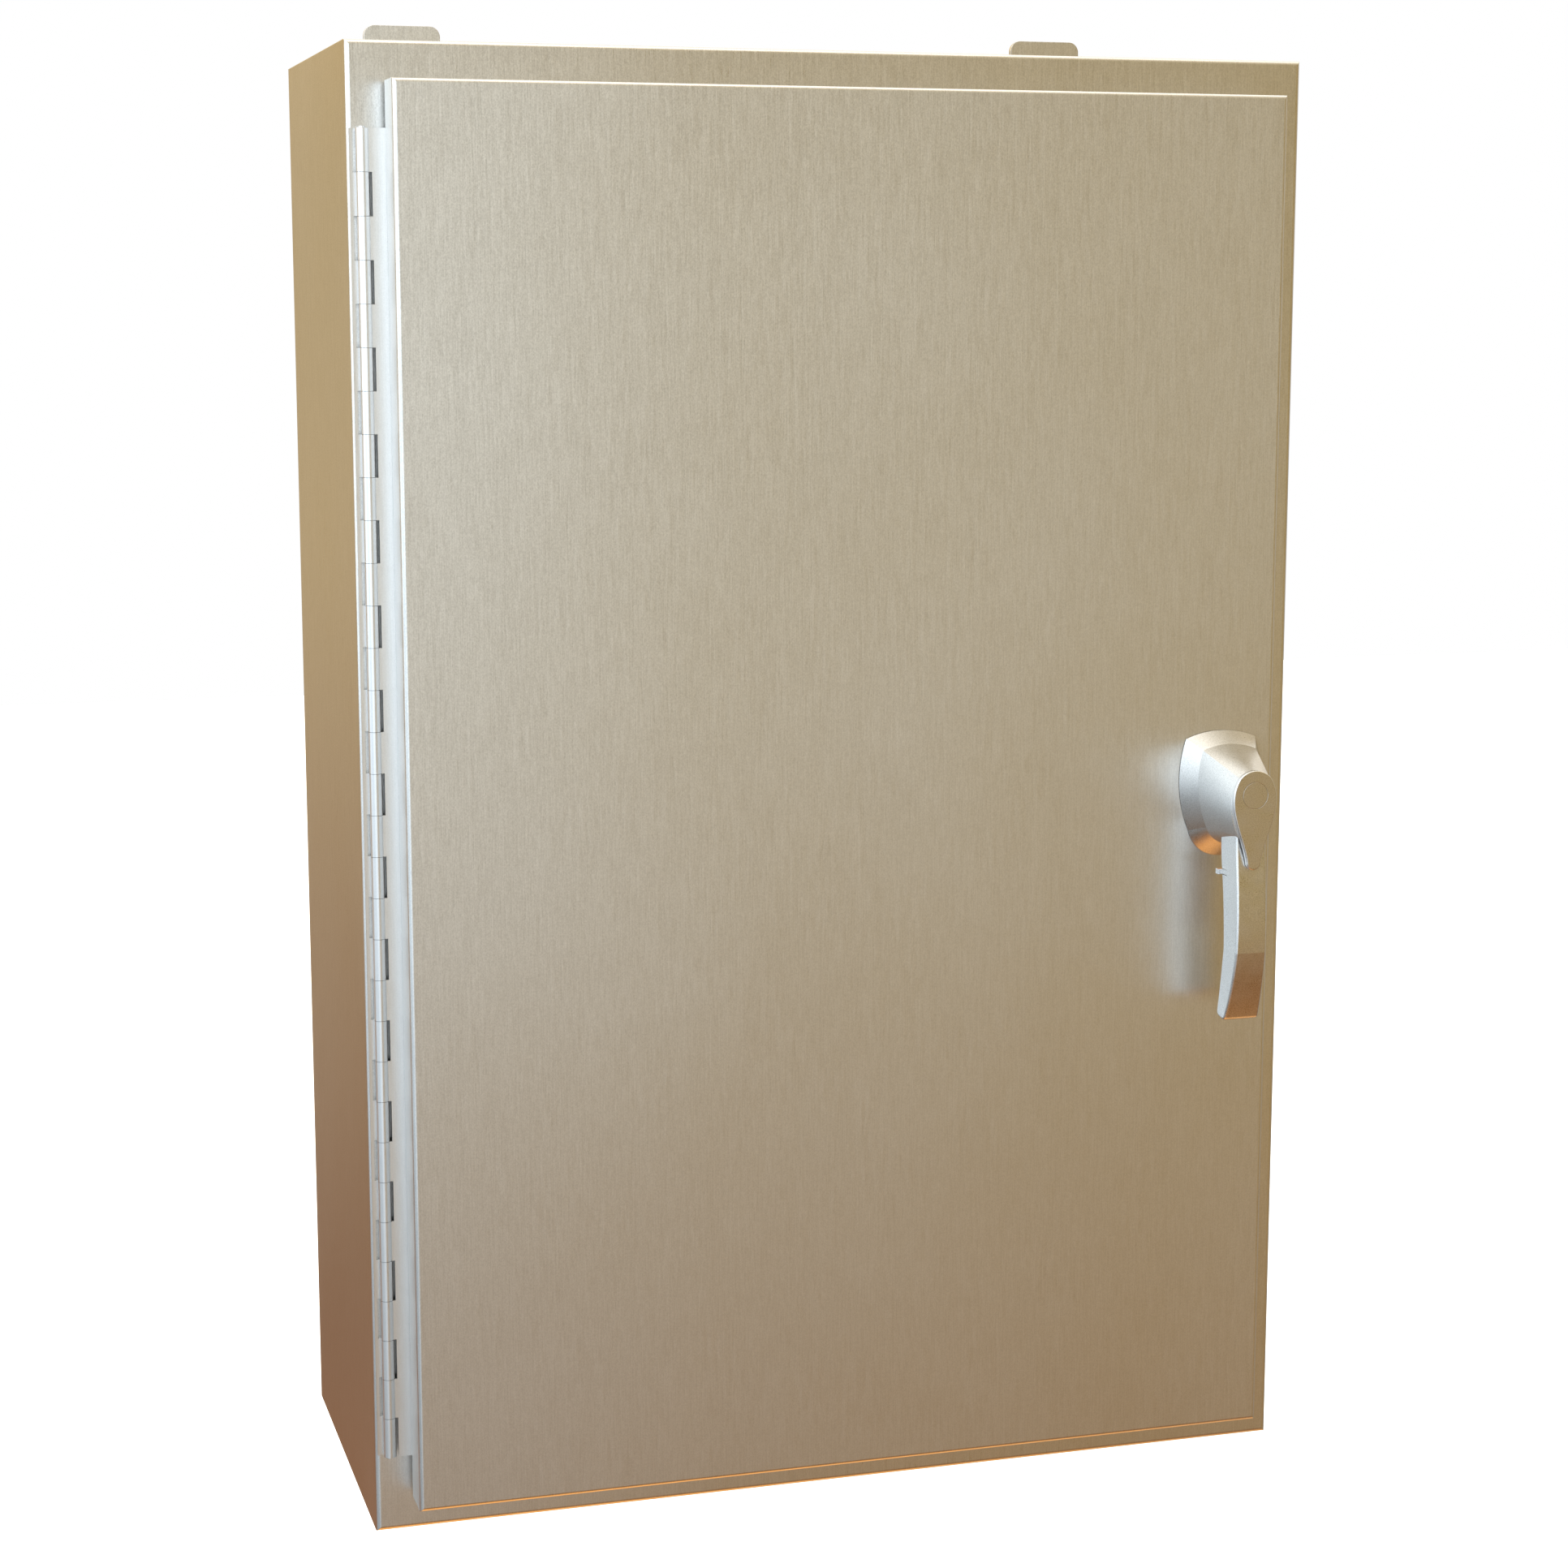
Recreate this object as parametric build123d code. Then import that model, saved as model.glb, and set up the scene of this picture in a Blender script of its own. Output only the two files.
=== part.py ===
from build123d import *
import math
import os

# Wall-mounted stainless disconnect enclosure with a three-pole fused switch inside.
# X runs to the right, Y into the wall, Z up. The origin is on the wall plane, at the
# centre of the four wall-foot holes. Lengths are millimetres.

# ---- fits ------------------------------------------------------------------
FIT = 0.05
GAP = 0.3

# ---- enclosure -------------------------------------------------------------
BODY_W = 609.6
BODY_H = 914.4
BODY_D = 254.0
SHEET = 2.0
BEND_R = 3.0
FOOT_T = 3.0
FOOT_W = 51.0
FOOT_RISE = 30.0
FOOT_LAP = 38.0
FOOT_CORNER_R = 7.0
FOOT_SPACING = 457.2
FOOT_HOLE_R = 5.56
FOOT_HOLE_UP = 15.0

HALF_W = BODY_W / 2
HALF_H = BODY_H / 2
BACK_Y = -FOOT_T
FACE_Y = BACK_Y - BODY_D
FLANGE_Y = FACE_Y + SHEET
FLOOR_Y = BACK_Y - SHEET

# Rain lip round the door opening
LIP_W = 270.0
LIP_H = 420.0
LIP_PROUD = 21.7

# ---- door ------------------------------------------------------------------
DOOR_X0 = -282.6
DOOR_X1 = 280.6
DOOR_H = 433.5
DOOR_PROUD = 34.0
DOOR_RETURN = 6.0
DOOR_BEND_R = 2.5
DOOR_Y = FACE_Y - DOOR_PROUD
SKIN_Y = DOOR_Y + SHEET
RETURN_Y = FACE_Y - 6.5
GASKET_W = 14.0
GASKET_T = 10.0

STIFFENER_W = 35.0
STIFFENER_LEFT_X = -235.0
STIFFENER_RIGHT_X = 150.0
STIFFENER_D = 19.0
STIFFENER_FOOT = 7.0
STIFFENER_HALF = 398.0

POCKET_X0 = -175.0
POCKET_X1 = 105.0
POCKET_Z0 = -150.0
POCKET_Z1 = 60.0
POCKET_D = 25.0
POCKET_SCOOP_R = 60.0

# ---- continuous hinge ------------------------------------------------------
HINGE_X = -296.0
HINGE_Y = FACE_Y - 4.5
BARREL_R = 4.0
PIN_R = 2.0
PIN_OVERHANG = 1.0
KNUCKLES = 32
KNUCKLE_L = 25.4
KNUCKLE_GAP = 0.2
HINGE_HALF = KNUCKLES * KNUCKLE_L / 2
LEAF_T = 1.5
BODY_LEAF_X0 = -303.3
BODY_LEAF_X1 = -301.5
DOOR_LEAF_X0 = -290.9
DOOR_LEAF_X1 = -276.0

# ---- handle ----------------------------------------------------------------
# PROUD values are distances in front of the door.
AXIS_X = 244.3
SHAFT_R = 8.0
SHAFT_PROUD = 44.0
SQUARE = 10.0
RIM_LIFT = 0.4
RIM_PROUD = 14.0
NECK_PROUD = 51.0
FACE_PROUD = 54.0
SHOULDER_R = 1.0
FACE_EDGE_R = 0.8
PLUG_R = 8.4
PLUG_T = 3.5
PLUG_GAP = 0.15
SCREW_HEAD_R = 6.5
SCREW_DROP = 0.5
SCREW_HEX_AF = 6.0
SCREW_HEX_D = 3.0

SEAL_T = 1.5
SEAL_INSET = 0.5
BUSH_R = 11.0
BUSH_FLANGE_R = 15.0
BUSH_FLANGE_T = 3.0
BUSH_END_Y = -277.0
BUSH_ROOM = 1.0
BUSH_NUT_T = 7.0
BUSH_NUT_AF = 32.0

# Lever heights are measured from the handle's axis.
LEVER_TOP = -24.0
LEVER_BEND = -101.2
LEVER_END = -150.0
LEVER_FRONT = 53.0
LEVER_BACK = 33.4
LEVER_HALF = 10.2
LEVER_TIP_HALF = 12.2
LEVER_BEND_R = 2.0
LEVER_EDGE_R = 1.5
LEVER_CROWN = 1.7
TIP_R = 3.4

TAB_Z = -52.2
TAB_T = 3.3
TAB_X0 = 234.4
TAB_X1 = 252.0
TAB_NOSE = 3.4
TAB_NOSE_D = 4.0
TAB_D0 = 26.0
TAB_D1 = 36.0
TAB_HOLE_R = 2.75
TAB_HOLE_IN = 5.5

# ---- three-point latch -----------------------------------------------------
CAM_PIN_R = 3.0
CAM_THROW = 16.0
CAM_R = CAM_THROW + 4.5
CAM_Y0 = -254.0
CAM_Y1 = -250.0
# The crank pins stand at 45 degrees when the latch is drawn back.
PIN_AT = CAM_THROW * math.sqrt(0.5)
PIN_END_Y = -242.5
TONGUE_REACH = 36.0
TONGUE_HALF = 8.0
TONGUE_CORNER_R = 6.0
CLIP_RING_Y0 = -244.1
CLIP_RING_Y1 = -243.1
CLIP_RING_WALL = 1.2

ROD_Y0 = -248.5
ROD_Y1 = -244.5
ROD_NEAR = 9.0
ROD_FAR = 21.0
ROD_TIP = 412.0
FORK_PLAY = 0.65
FORK_WALL = 4.0
FORK_STEP = 1.6
EAR_T = 3.0
EAR_D = 4.0
ROLLER_R = 7.0
ROLLER_W = 5.6
ROLLER_ROOM = 2.0
ROLLER_Z = 408.0
ROLLER_Y = -246.5
ROD_EARS_Z = 394.0
AXLE_R = 2.5

GUIDE_Z = 235.0
GUIDE_WALL = 1.6
GUIDE_HALF = 10.0
GUIDE_FOOT = 9.0

SOCKET_Y0 = -243.8
SOCKET_SEAT_Y = -240.0
SOCKET_Y1 = -226.0
SOCKET_R = 11.5
SOCKET_HALF = 5.7
SOCKET_FLARE = 4.0
SOCKET_RIM = 2.0

# ---- back panel ------------------------------------------------------------
PANEL_W = 266.7
PANEL_H = 419.1
PANEL_Y0 = -28.0
PANEL_Y1 = -25.5
STUD_X = 254.0
STUD_Z = 406.4
STUD_R = 4.0
STUD_END_Y = -38.0
STUD_ROOM = 0.5
COLLAR_R = 8.0
STUD_NUT_T = 6.5
STUD_NUT_AF = 13.0

# ---- switch ----------------------------------------------------------------
POLE_X = 30.0
POLE_PITCH = 72.0
POLES = [POLE_X + POLE_PITCH * i for i in range(3)]
BASE_X0 = -8.0
BASE_X1 = 212.0
BASE_Z0 = -300.0
BASE_Z1 = 160.0
BASE_Y = -40.0
BASE_CHAMFER = 2.0
STRAP_Y = -45.0
STRAP_HALF = 10.0

BLADE_Y0 = -60.0
BLADE_Y1 = -56.0
BLADE_HALF = 30.0
BLADE_W = 14.0
HUB_R = 12.0
HUB_LIFT = 1.0
DISC_R = 22.0
DISC_Y0 = -80.0
DISC_Y1 = -76.0
PIVOT_R = 4.0
PIVOT_ROOM = 0.5
PIVOT_HEAD_R = 6.0
PIVOT_HEAD_Y = -83.0

# The crank pins stand at 45 degrees, up and to the left, when the switch is open.
CRANK_THROW = 18.0
CRANK_AT = CRANK_THROW * math.sqrt(0.5)
CRANK_PIN_R = 3.0
CRANK_PIN_OVER = 3.0
BAR_Y0 = -86.0
BAR_Y1 = -82.0
BAR_Z0 = 6.8
BAR_Z1 = 23.9
BAR_X1 = 242.0
BAR_TAIL = 10.0
SLOT_HALF = 3.7
SLOT_Z0 = 9.3
SLOT_Z1 = 21.4

BARRIER_Y = -100.0
BARRIER_T = 3.0
BARRIER_Z0 = BASE_Z0 + 8.0
BARRIER_Z1 = BASE_Z1 - 4.0
SHIELD_T = 3.0
SHIELD_Z0 = 62.0
SHIELD_CORNER_R = 5.0

JAW_LEAF = 2.5
JAW_HALF = 8.0
JAW_Z0 = 22.0
JAW_Z1 = 42.0
JAW_DEPTH = 15.0
JAW_LAP = 2.0

FUSE_Z = -150.0
FUSE_Y = -75.0
FUSE_R = 20.5
FUSE_TUBE_L = 76.0
FUSE_CAP_L = 6.0
FUSE_L = 146.0
FUSE_BLADE_T = 4.8
FUSE_BLADE_W = 28.6
FUSE_BLADE_TRIM = 4.0
CLIP_LEAF = 3.0
CLIP_L = 24.0
CLIP_FLOOR = 5.0
CLIP_SETBACK = 3.0

LUG_L = 42.0
LUG_W = 30.0
LUG_Y0 = -73.0
LUG_BORE_R = 8.0
LUG_BORE_L = 36.0
LUG_BORE_Y = -60.0
LUG_SCREW_R = 5.0
LUG_SCREW_OUT = 5.0
LUG_SCREW_CLEAR = 0.5
LUG_HEX_AF = 5.0
LUG_HEX_D = 4.0
LINE_LUG_Z = 108.0
LOAD_LUG_Z = -285.0

# ---- operating mechanism ---------------------------------------------------
FRAME_HALF = 23.0
FRAME_H = 45.0
FRAME_Y = -113.0
FRAME_T = 3.0
SWITCH_SHAFT_R = 5.0
SHAFT_SQUARE_Y = -204.0
SHAFT_TIP_Y = -238.0
SHAFT_TIP_HALF = 4.0
SHAFT_TIP_CHAMFER = 1.5
SHAFT_HUB_R = 9.0
SHAFT_HUB_Y = -62.0

# ---- ground bar ------------------------------------------------------------
GROUND_X = 240.0
GROUND_HALF = 8.0
GROUND_Z0 = -392.0
GROUND_Z1 = -260.0
GROUND_Y = -48.0
GROUND_T = 12.0
GROUND_FOOT_L = 16.0
GROUND_WIRES = 6
GROUND_PITCH = 14.0
GROUND_WIRE_R = 3.0
GROUND_SCREW_R = 4.0
GROUND_SCREW_H = 3.0

os.makedirs("parts", exist_ok=True)


# ---- helpers ---------------------------------------------------------------
def span(x0, x1, y0, y1, z0, z1):
    """A block between two opposite corners."""
    centre = ((x0 + x1) / 2, (y0 + y1) / 2, (z0 + z1) / 2)
    return Pos(*centre) * Box(abs(x1 - x0), abs(y1 - y0), abs(z1 - z0))


def round_x(y, z, x0, x1, r):
    return Pos((x0 + x1) / 2, y, z) * Rot(0, 90, 0) * Cylinder(r, abs(x1 - x0))


def round_y(x, z, y0, y1, r):
    return Pos(x, (y0 + y1) / 2, z) * Rot(90, 0, 0) * Cylinder(r, abs(y1 - y0))


def round_z(x, y, z0, z1, r):
    return Pos(x, y, (z0 + z1) / 2) * Cylinder(r, abs(z1 - z0))


def hex_y(x, z, y0, y1, across_flats):
    """A hexagonal prism along Y."""
    outline = RegularPolygon(across_flats / 2, 6, major_radius=False)
    return Pos(x, y1, z) * Rot(90, 0, 0) * extrude(outline, abs(y1 - y0))


def front_plane(proud):
    """A sketch plane parallel to the door, this far in front of it, centred on the handle axis."""
    return Plane(origin=(AXIS_X, DOOR_Y - proud, 0), x_dir=(1, 0, 0), z_dir=(0, -1, 0))


def ring(half_w, half_h, width, y0, y1):
    """A rectangular frame whose centre line is at half_w and half_h."""
    w = width / 2
    outer = span(-half_w - w, half_w + w, y0, y1, -half_h - w, half_h + w)
    inner = span(-half_w + w, half_w - w, y0, y1, -half_h + w, half_h - w)
    return outer - inner


def save(name, *solids):
    shape = solids[0] if len(solids) == 1 else Compound(children=list(solids))
    export_step(shape, os.path.join("parts", name + ".step"))


# ---- enclosure body --------------------------------------------------------
def bent_box(inset, radius):
    """The enclosure's block, drawn in by inset, with its upright and front edges rounded."""
    w = HALF_W - inset
    h = HALF_H - inset
    block = span(-w, w, FACE_Y + inset, BACK_Y - inset, -h, h)
    upright = block.edges().filter_by(Axis.Z)
    front = block.edges().filter_by(Axis.X).group_by(Axis.Y)[0]
    return fillet(upright + front, radius)


def enclosure_body():
    """Seam-welded box with a turned-in front flange and a rain lip round its opening."""
    shell = bent_box(0, BEND_R) - bent_box(SHEET, BEND_R - SHEET)
    lip_y = FACE_Y - LIP_PROUD
    lip = span(-LIP_W - SHEET, LIP_W + SHEET, lip_y, FACE_Y, -LIP_H - SHEET, LIP_H + SHEET)
    opening = span(-LIP_W, LIP_W, lip_y, FLANGE_Y, -LIP_H, LIP_H)
    return shell + lip - opening


def mounting_feet():
    """Four wall feet, welded flat on the back at the corners."""
    feet = []
    for side in (-1, 1):
        for end in (-1, 1):
            x = side * FOOT_SPACING / 2
            z0 = HALF_H - FOOT_LAP
            z1 = HALF_H + FOOT_RISE
            plate = span(x - FOOT_W / 2, x + FOOT_W / 2, BACK_Y, 0, end * z0, end * z1)
            outer = plate.edges().filter_by(Axis.Y).group_by(Axis.Z)[-1 if end > 0 else 0]
            plate = fillet(outer, FOOT_CORNER_R)
            hole_z = end * (HALF_H + FOOT_HOLE_UP)
            feet.append(plate - round_y(x, hole_z, BACK_Y, 0, FOOT_HOLE_R))
    return feet


# ---- hinge -----------------------------------------------------------------
def knuckle(index, bore_r):
    """One rolled knuckle; index 0 is the top one."""
    top = HINGE_HALF - index * KNUCKLE_L - KNUCKLE_GAP / 2
    bottom = top - KNUCKLE_L + KNUCKLE_GAP
    barrel = round_z(HINGE_X, HINGE_Y, bottom, top, BARREL_R)
    bore = round_z(HINGE_X, HINGE_Y, bottom, top, bore_r)
    return barrel, bore, bottom, top


def hinge_body_leaf():
    leaf = span(BODY_LEAF_X0, BODY_LEAF_X1, FACE_Y - LEAF_T, FACE_Y, -HINGE_HALF, HINGE_HALF)
    bores = []
    for index in range(1, KNUCKLES, 2):
        barrel, bore, bottom, top = knuckle(index, PIN_R)
        leaf += span(BODY_LEAF_X0, HINGE_X, FACE_Y - LEAF_T, FACE_Y, bottom, top)
        leaf += barrel
        bores.append(bore)
    return leaf - bores


def hinge_door_leaf():
    leaf = span(DOOR_LEAF_X0, DOOR_LEAF_X1, RETURN_Y, RETURN_Y + LEAF_T, -HINGE_HALF, HINGE_HALF)
    bores = []
    for index in range(0, KNUCKLES, 2):
        barrel, bore, bottom, top = knuckle(index, PIN_R + FIT)
        leaf += span(HINGE_X, DOOR_LEAF_X1, RETURN_Y, RETURN_Y + LEAF_T, bottom, top)
        leaf += barrel
        bores.append(bore)
    return leaf - bores


def hinge_pin():
    half = HINGE_HALF + PIN_OVERHANG
    return round_z(HINGE_X, HINGE_Y, -half, half, PIN_R)


# ---- door ------------------------------------------------------------------
def door_panel():
    """Door pan: skin, four side flanges and narrow returns behind them."""
    pan = span(DOOR_X0, DOOR_X1, DOOR_Y, RETURN_Y, -DOOR_H, DOOR_H)
    front = pan.faces().sort_by(Axis.Y)[0].edges()
    pan = fillet(front, DOOR_BEND_R)
    cavity_h = DOOR_H - SHEET
    pan -= span(DOOR_X0 + SHEET, DOOR_X1 - SHEET, SKIN_Y, RETURN_Y - SHEET, -cavity_h, cavity_h)
    mouth_h = DOOR_H - DOOR_RETURN
    mouth_y = RETURN_Y - SHEET
    pan -= span(DOOR_X0 + DOOR_RETURN, DOOR_X1 - DOOR_RETURN, mouth_y, RETURN_Y, -mouth_h, mouth_h)
    return pan - round_y(AXIS_X, 0, DOOR_Y, SKIN_Y, BUSH_R)


def door_gasket():
    """Foamed strip on the inside of the skin, over the rain lip."""
    return ring(LIP_W + SHEET / 2, LIP_H + SHEET / 2, GASKET_W, SKIN_Y, SKIN_Y + GASKET_T)


def door_stiffener(x0):
    """Upright hat channel on the inside of the door."""
    x1 = x0 + STIFFENER_W
    half = STIFFENER_HALF
    crown_x0 = x0 + STIFFENER_FOOT
    crown_x1 = x1 - STIFFENER_FOOT
    crown_y = SKIN_Y + STIFFENER_D
    hat = span(crown_x0, crown_x1, SKIN_Y, crown_y, -half, half)
    hat += span(x0, x1, SKIN_Y, SKIN_Y + SHEET, -half, half)
    return hat - span(crown_x0 + SHEET, crown_x1 - SHEET, SKIN_Y, crown_y - SHEET, -half, half)


def data_pocket():
    """Open-topped drawing pocket on the inside of the door, with a scooped front wall."""
    y1 = SKIN_Y + POCKET_D
    x0 = POCKET_X0 + SHEET
    x1 = POCKET_X1 - SHEET
    pocket = span(POCKET_X0, POCKET_X1, SKIN_Y, y1, POCKET_Z0, POCKET_Z1)
    pocket -= span(x0, x1, SKIN_Y + SHEET, y1 - SHEET, POCKET_Z0 + SHEET, POCKET_Z1)
    scoop_z = POCKET_Z1 + POCKET_SCOOP_R / 3
    return pocket - round_y((x0 + x1) / 2, scoop_z, y1 - SHEET, y1, POCKET_SCOOP_R)


# ---- handle ----------------------------------------------------------------
def shield_outline(proud, half_w, corner, side, foot, top, bottom):
    """Handle-base outline: bowed top between two corners, bellied sides, round bottom.

    corner and foot are (x, z) on the right-hand side and are mirrored to the left.
    The sides bulge to half_w at the height side.
    """
    plane = front_plane(proud)
    left_corner = (-corner[0], corner[1])
    left_foot = (-foot[0], foot[1])
    edges = Curve() + [
        ThreePointArc(left_corner, (0, top), corner),
        ThreePointArc(corner, (half_w, side), foot),
        ThreePointArc(foot, (0, bottom), left_foot),
        ThreePointArc(left_foot, (-half_w, side), left_corner),
    ]
    return plane * make_face(edges)


def teardrop_outline(proud):
    """Front plate outline: round top narrowing to a small rounded tip."""
    plane = front_plane(proud)
    edges = Curve() + [
        ThreePointArc((-10.4, 11.3), (0, 15.7), (10.4, 11.3)),
        Spline((10.4, 11.3), (14.5, 0.0), (11.2, -21.0), (4.6, -43.6)),
        ThreePointArc((4.6, -43.6), (0, -47.6), (-4.6, -43.6)),
        Spline((-4.6, -43.6), (-11.2, -21.0), (-14.5, 0.0), (-10.4, 11.3)),
    ]
    return plane * make_face(edges)


def neck_outline(proud):
    """Top of the hub, under the front plate: the teardrop cut off square at the lever."""
    plane = front_plane(proud)
    edges = Curve() + [
        ThreePointArc((-10.4, 11.3), (0, 15.7), (10.4, 11.3)),
        Spline((10.4, 11.3), (14.5, 0.0), (10.2, -26.0)),
        ThreePointArc((10.2, -26.0), (0, -30.0), (-10.2, -26.0)),
        Spline((-10.2, -26.0), (-14.5, 0.0), (-10.4, 11.3)),
    ]
    return plane * make_face(edges)


def at_depth(edge, proud):
    """Whether an edge lies in the plane this far in front of the door."""
    box = edge.bounding_box()
    y = DOOR_Y - proud
    return abs(box.min.Y - y) < GAP and abs(box.max.Y - y) < GAP


def handle_body():
    """Flared rim, tapering hub and flat front plate of the handle, before it is bored."""
    base = shield_outline(
        RIM_LIFT, half_w=28.4, corner=(24.2, 29.5), side=5.0, foot=(21.5, -30.0), top=34.4, bottom=-47.3
    )
    shoulder = shield_outline(
        RIM_PROUD, half_w=21.2, corner=(18.2, 23.6), side=4.0, foot=(15.0, -26.0), top=27.2, bottom=-37.0
    )
    neck = neck_outline(NECK_PROUD)
    rim = loft([base, shoulder], ruled=True)
    hub = loft([shoulder, neck], ruled=True)
    plate = extrude(teardrop_outline(NECK_PROUD), FACE_PROUD - NECK_PROUD)
    body = rim + hub + plate
    shoulder_edges = body.edges().filter_by(lambda e: at_depth(e, RIM_PROUD))
    body = fillet(shoulder_edges, SHOULDER_R)
    front_edges = body.edges().filter_by(lambda e: at_depth(e, FACE_PROUD))
    return fillet(front_edges, FACE_EDGE_R)


def handle_casting():
    """Handle body, recessed over the bushing and bored for the shaft, the screw and the plug."""
    body = handle_body()
    face_y = DOOR_Y - FACE_PROUD
    shaft_y = DOOR_Y - SHAFT_PROUD
    recess_y = DOOR_Y - SEAL_T - BUSH_FLANGE_T - BUSH_ROOM
    body -= round_y(AXIS_X, 0, DOOR_Y - RIM_LIFT, shaft_y, SHAFT_R)
    body -= round_y(AXIS_X, 0, DOOR_Y, recess_y, BUSH_FLANGE_R + BUSH_ROOM)
    body -= round_y(AXIS_X, 0, face_y, face_y + PLUG_T, PLUG_R + PLUG_GAP)
    body -= round_y(AXIS_X, 0, face_y, shaft_y, SCREW_HEAD_R)
    return body - lever_blank()


def lever_profile():
    """Side view of the lever; points are (distance proud of the door, height)."""
    root_back = (26.0, LEVER_TOP)
    root_front = (49.0, LEVER_TOP)
    bend_front = (LEVER_FRONT, LEVER_BEND)
    bend_back = (LEVER_BACK, LEVER_BEND)
    tip_front = (40.0, -147.4)
    tip_back = (28.4, -145.6)
    crown = ((bend_front[0] + tip_front[0]) / 2 + LEVER_CROWN, (bend_front[1] + tip_front[1]) / 2)
    outline = Curve() + [
        Line(root_back, root_front),
        Spline(root_front, (49.4, -34.0), (50.9, -48.0), (52.8, -72.0), bend_front),
        ThreePointArc(bend_front, crown, tip_front),
        Line(tip_front, tip_back),
        Line(tip_back, bend_back),
        Spline(bend_back, (31.8, -80.0), (29.4, -60.0), (26.0, -38.0), root_back),
    ]
    face = make_face(outline)
    low = face.vertices().filter_by(lambda v: v.Y < LEVER_BEND - 20.0)
    face = fillet(low, TIP_R)
    bends = face.vertices().filter_by(lambda v: abs(v.Y - LEVER_BEND) < 0.01)
    return fillet(bends, LEVER_BEND_R)


def lever_taper():
    """Front view of the lever: straight sides that spread a little towards the tip."""
    right = [(LEVER_HALF, 0.0), (LEVER_HALF, -60.0), (10.5, -105.0), (LEVER_TIP_HALF, LEVER_END)]
    left = [(-x, z) for x, z in reversed(right)]
    outline = Curve() + [Line(left[-1], right[0]), Spline(*right), Line(right[-1], left[0]), Spline(*left)]
    return make_face(outline)


def lever_blank():
    """The lever before its tab slot: side view and front view, with softened long edges."""
    right = AXIS_X + 2 * LEVER_TIP_HALF
    side = Plane(origin=(right, DOOR_Y, 0), x_dir=(0, -1, 0), z_dir=(-1, 0, 0))
    blank = extrude(side * lever_profile(), 4 * LEVER_TIP_HALF)
    blank &= extrude(front_plane(0) * lever_taper(), LEVER_FRONT + LEVER_BACK)
    root = blank.faces().sort_by(Axis.Z)[-1].edges()
    narrow = LEVER_HALF / 2
    sides = [e for e in blank.edges() if e.bounding_box().size.X < narrow and e not in root]
    return fillet(sides, LEVER_EDGE_R)


def lock_tab():
    """Slide in the lever's back: drawn out, it shows a hole for a padlock."""
    z0 = TAB_Z - TAB_T / 2
    z1 = TAB_Z + TAB_T / 2
    plate = span(TAB_X0, TAB_X1, DOOR_Y - TAB_D1, DOOR_Y - TAB_D0, z0, z1)
    back_y = DOOR_Y - TAB_D0
    plate += span(TAB_X0 - TAB_NOSE, TAB_X0, back_y - TAB_NOSE_D, back_y, z0, z1)
    hole_y = DOOR_Y - (TAB_D0 + TAB_D1) / 2
    return plate - round_z(TAB_X0 + TAB_HOLE_IN, hole_y, z0, z1, TAB_HOLE_R)


def handle_lever():
    """Bent lever with a slot across its back for the lock tab."""
    z0 = TAB_Z - TAB_T / 2 - GAP
    z1 = TAB_Z + TAB_T / 2 + GAP
    left = TAB_X0 - TAB_NOSE - GAP
    return lever_blank() - span(left, TAB_X1 + GAP, DOOR_Y - TAB_D1 - GAP, DOOR_Y, z0, z1)


def handle_plug():
    """Disc that covers the screw, flush with the front plate."""
    face_y = DOOR_Y - FACE_PROUD
    return round_y(AXIS_X, 0, face_y, face_y + PLUG_T, PLUG_R)


def handle_screw():
    """Socket screw that clamps the casting down on its shaft, under the plug."""
    head_y = DOOR_Y - FACE_PROUD + PLUG_T + SCREW_DROP
    head = round_y(AXIS_X, 0, head_y, DOOR_Y - SHAFT_PROUD, SCREW_HEAD_R)
    return head - hex_y(AXIS_X, 0, head_y, head_y + SCREW_HEX_D, SCREW_HEX_AF)


def handle_shaft():
    """Round journal with a shoulder and a square end for the latch cam and the socket."""
    journal = round_y(AXIS_X, 0, DOOR_Y - SHAFT_PROUD, CAM_Y0, SHAFT_R)
    half = SQUARE / 2
    return journal + span(AXIS_X - half, AXIS_X + half, CAM_Y0, SOCKET_SEAT_Y, -half, half)


def handle_seal():
    """Washer under the bushing's flange."""
    y1 = DOOR_Y - SEAL_T
    washer = round_y(AXIS_X, 0, DOOR_Y, y1, BUSH_FLANGE_R - SEAL_INSET)
    return washer - round_y(AXIS_X, 0, DOOR_Y, y1, BUSH_R)


def door_bushing():
    """Flanged bearing for the handle shaft, through the door skin."""
    seat_y = DOOR_Y - SEAL_T
    bush = round_y(AXIS_X, 0, seat_y, seat_y - BUSH_FLANGE_T, BUSH_FLANGE_R)
    bush += round_y(AXIS_X, 0, seat_y, BUSH_END_Y, BUSH_R)
    return bush - round_y(AXIS_X, 0, seat_y - BUSH_FLANGE_T, BUSH_END_Y, SHAFT_R + FIT)


def bushing_nut():
    nut = hex_y(AXIS_X, 0, SKIN_Y, SKIN_Y + BUSH_NUT_T, BUSH_NUT_AF)
    return nut - round_y(AXIS_X, 0, SKIN_Y, SKIN_Y + BUSH_NUT_T, BUSH_R)


# ---- latch -----------------------------------------------------------------
def latch_cam():
    """Cam on the handle shaft: two crank pins and a tongue that swings behind the flange."""
    square = SQUARE / 2
    cam = round_y(AXIS_X, 0, CAM_Y0, CAM_Y1, CAM_R)
    tongue = span(AXIS_X - TONGUE_HALF, AXIS_X + TONGUE_HALF, CAM_Y0, CAM_Y1, 0, TONGUE_REACH)
    cam += fillet(tongue.edges().filter_by(Axis.Y).group_by(Axis.Z)[-1], TONGUE_CORNER_R)
    for sign in (-1, 1):
        cam += round_y(AXIS_X + sign * PIN_AT, sign * PIN_AT, CAM_Y1, PIN_END_Y, CAM_PIN_R)
    return cam - span(AXIS_X - square, AXIS_X + square, CAM_Y0, CAM_Y1, -square, square)


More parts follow.
